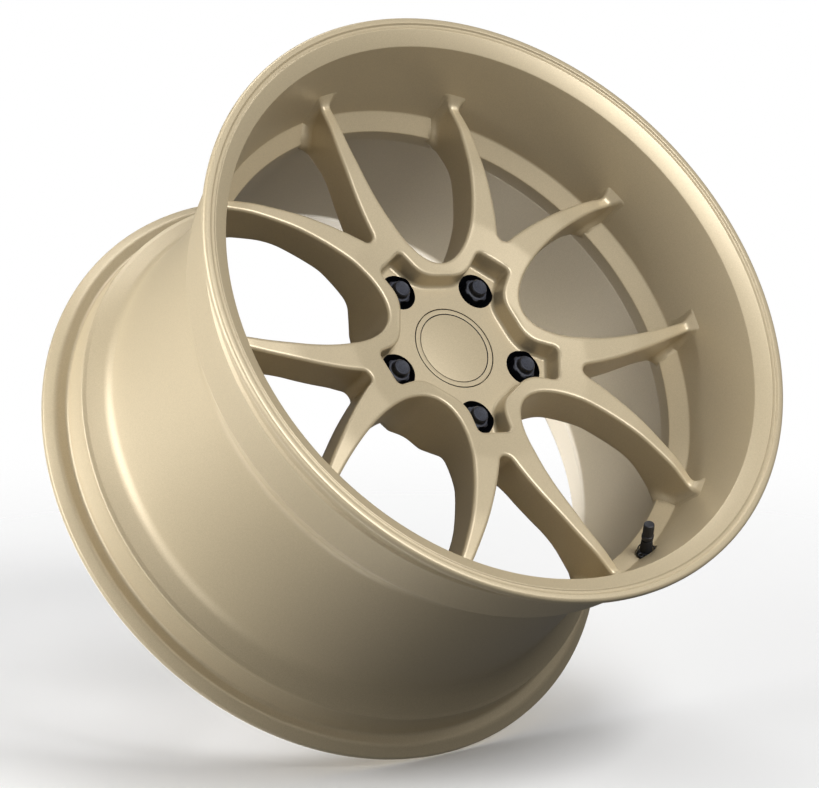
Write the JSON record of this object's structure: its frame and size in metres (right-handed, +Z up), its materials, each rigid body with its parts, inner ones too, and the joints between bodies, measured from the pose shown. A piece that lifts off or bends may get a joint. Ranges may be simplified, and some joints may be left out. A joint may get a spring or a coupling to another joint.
{
  "type": "forged racing wheel rim",
  "caption": "Deep-dish forged racing wheel with Y-shaped spokes, a recessed star hub pocket, splined lug nuts, a flush centre cap and a snap-in tyre valve.",
  "frame": {"origin": "centre of the wheel on its spin axis, midway between the two flange edges", "axes": "+Y inboard along the spin axis, so the outboard face looks towards -Y; +Z up through one lug hole, with the valve at -Z; +X to the right as seen from outboard"},
  "size_m": [0.4966, 0.291, 0.4966],
  "materials": {
    "wheel_paint": "satin sand-gold paint with fine metallic sparkle over forged aluminium",
    "black_steel": "satin black coated steel",
    "black_plastic": "moulded black plastic, lightly worn top",
    "black_rubber": "matte black rubber",
    "brass": "machined brass",
    "spring_steel": "bright spring wire"
  },
  "bodies": {
    "wheel": {"rim_barrel": "wheel_paint", "hub_centre": "wheel_paint", "y_spoke_1": "wheel_paint", "y_spoke_2": "wheel_paint", "y_spoke_3": "wheel_paint", "y_spoke_4": "wheel_paint", "y_spoke_5": "wheel_paint", "valve_rubber_body": "black_rubber", "valve_tube": "brass", "valve_wire_ring": "black_steel", "valve_core_barrel": "brass", "valve_core_seal": "black_rubber", "valve_core_spring": "spring_steel"},
    "centre_cap": {"centre_cap": "wheel_paint", "centre_cap_disc": "wheel_paint", "centre_cap_wire": "spring_steel"},
    "seat_ring_1": {"lug_seat_ring_1": "black_steel"},
    "nut_1": {"lug_nut_1": "black_steel"},
    "seat_ring_2": {"lug_seat_ring_2": "black_steel"},
    "nut_2": {"lug_nut_2": "black_steel"},
    "seat_ring_3": {"lug_seat_ring_3": "black_steel"},
    "nut_3": {"lug_nut_3": "black_steel"},
    "seat_ring_4": {"lug_seat_ring_4": "black_steel"},
    "nut_4": {"lug_nut_4": "black_steel"},
    "seat_ring_5": {"lug_seat_ring_5": "black_steel"},
    "nut_5": {"lug_nut_5": "black_steel"},
    "valve_cap": {"valve_cap": "black_plastic", "valve_cap_seal": "black_rubber"},
    "valve_pin": {"valve_core_pin": "brass"}
  },
  "joints": [
    {"name": "cap_pull", "type": "slide", "parent": "wheel", "child": "centre_cap", "axis": [0, -1, 0], "range_m": [0, 0.1]},
    {"name": "nut_1_withdraw", "type": "slide", "parent": "wheel", "child": "seat_ring_1", "axis": [0, -1, 0], "range_m": [0, 0.115]},
    {"name": "nut_1_turn", "type": "hinge", "parent": "seat_ring_1", "child": "nut_1", "pos_m": [0, -0.06, 0.06], "axis": [0, -1, 0], "continuous": true},
    {"name": "nut_2_withdraw", "type": "slide", "parent": "wheel", "child": "seat_ring_2", "axis": [0, -1, 0], "range_m": [0, 0.115]},
    {"name": "nut_2_turn", "type": "hinge", "parent": "seat_ring_2", "child": "nut_2", "pos_m": [0.05706, -0.06, 0.01854], "axis": [0, -1, 0], "continuous": true},
    {"name": "nut_3_withdraw", "type": "slide", "parent": "wheel", "child": "seat_ring_3", "axis": [0, -1, 0], "range_m": [0, 0.115]},
    {"name": "nut_3_turn", "type": "hinge", "parent": "seat_ring_3", "child": "nut_3", "pos_m": [0.03527, -0.06, -0.04854], "axis": [0, -1, 0], "continuous": true},
    {"name": "nut_4_withdraw", "type": "slide", "parent": "wheel", "child": "seat_ring_4", "axis": [0, -1, 0], "range_m": [0, 0.115]},
    {"name": "nut_4_turn", "type": "hinge", "parent": "seat_ring_4", "child": "nut_4", "pos_m": [-0.03527, -0.06, -0.04854], "axis": [0, -1, 0], "continuous": true},
    {"name": "nut_5_withdraw", "type": "slide", "parent": "wheel", "child": "seat_ring_5", "axis": [0, -1, 0], "range_m": [0, 0.115]},
    {"name": "nut_5_turn", "type": "hinge", "parent": "seat_ring_5", "child": "nut_5", "pos_m": [-0.05706, -0.06, 0.01854], "axis": [0, -1, 0], "continuous": true},
    {"name": "valve_cap_lift", "type": "slide", "parent": "wheel", "child": "valve_cap", "axis": [0.0153, -0.866, 0.4998], "range_m": [0, 0.1]},
    {"name": "valve_pin_press", "type": "slide", "parent": "wheel", "child": "valve_pin", "axis": [-0.0153, 0.866, -0.4998], "range_m": [0, 0.0012], "stiffness_N_per_m": 900}
  ]
}
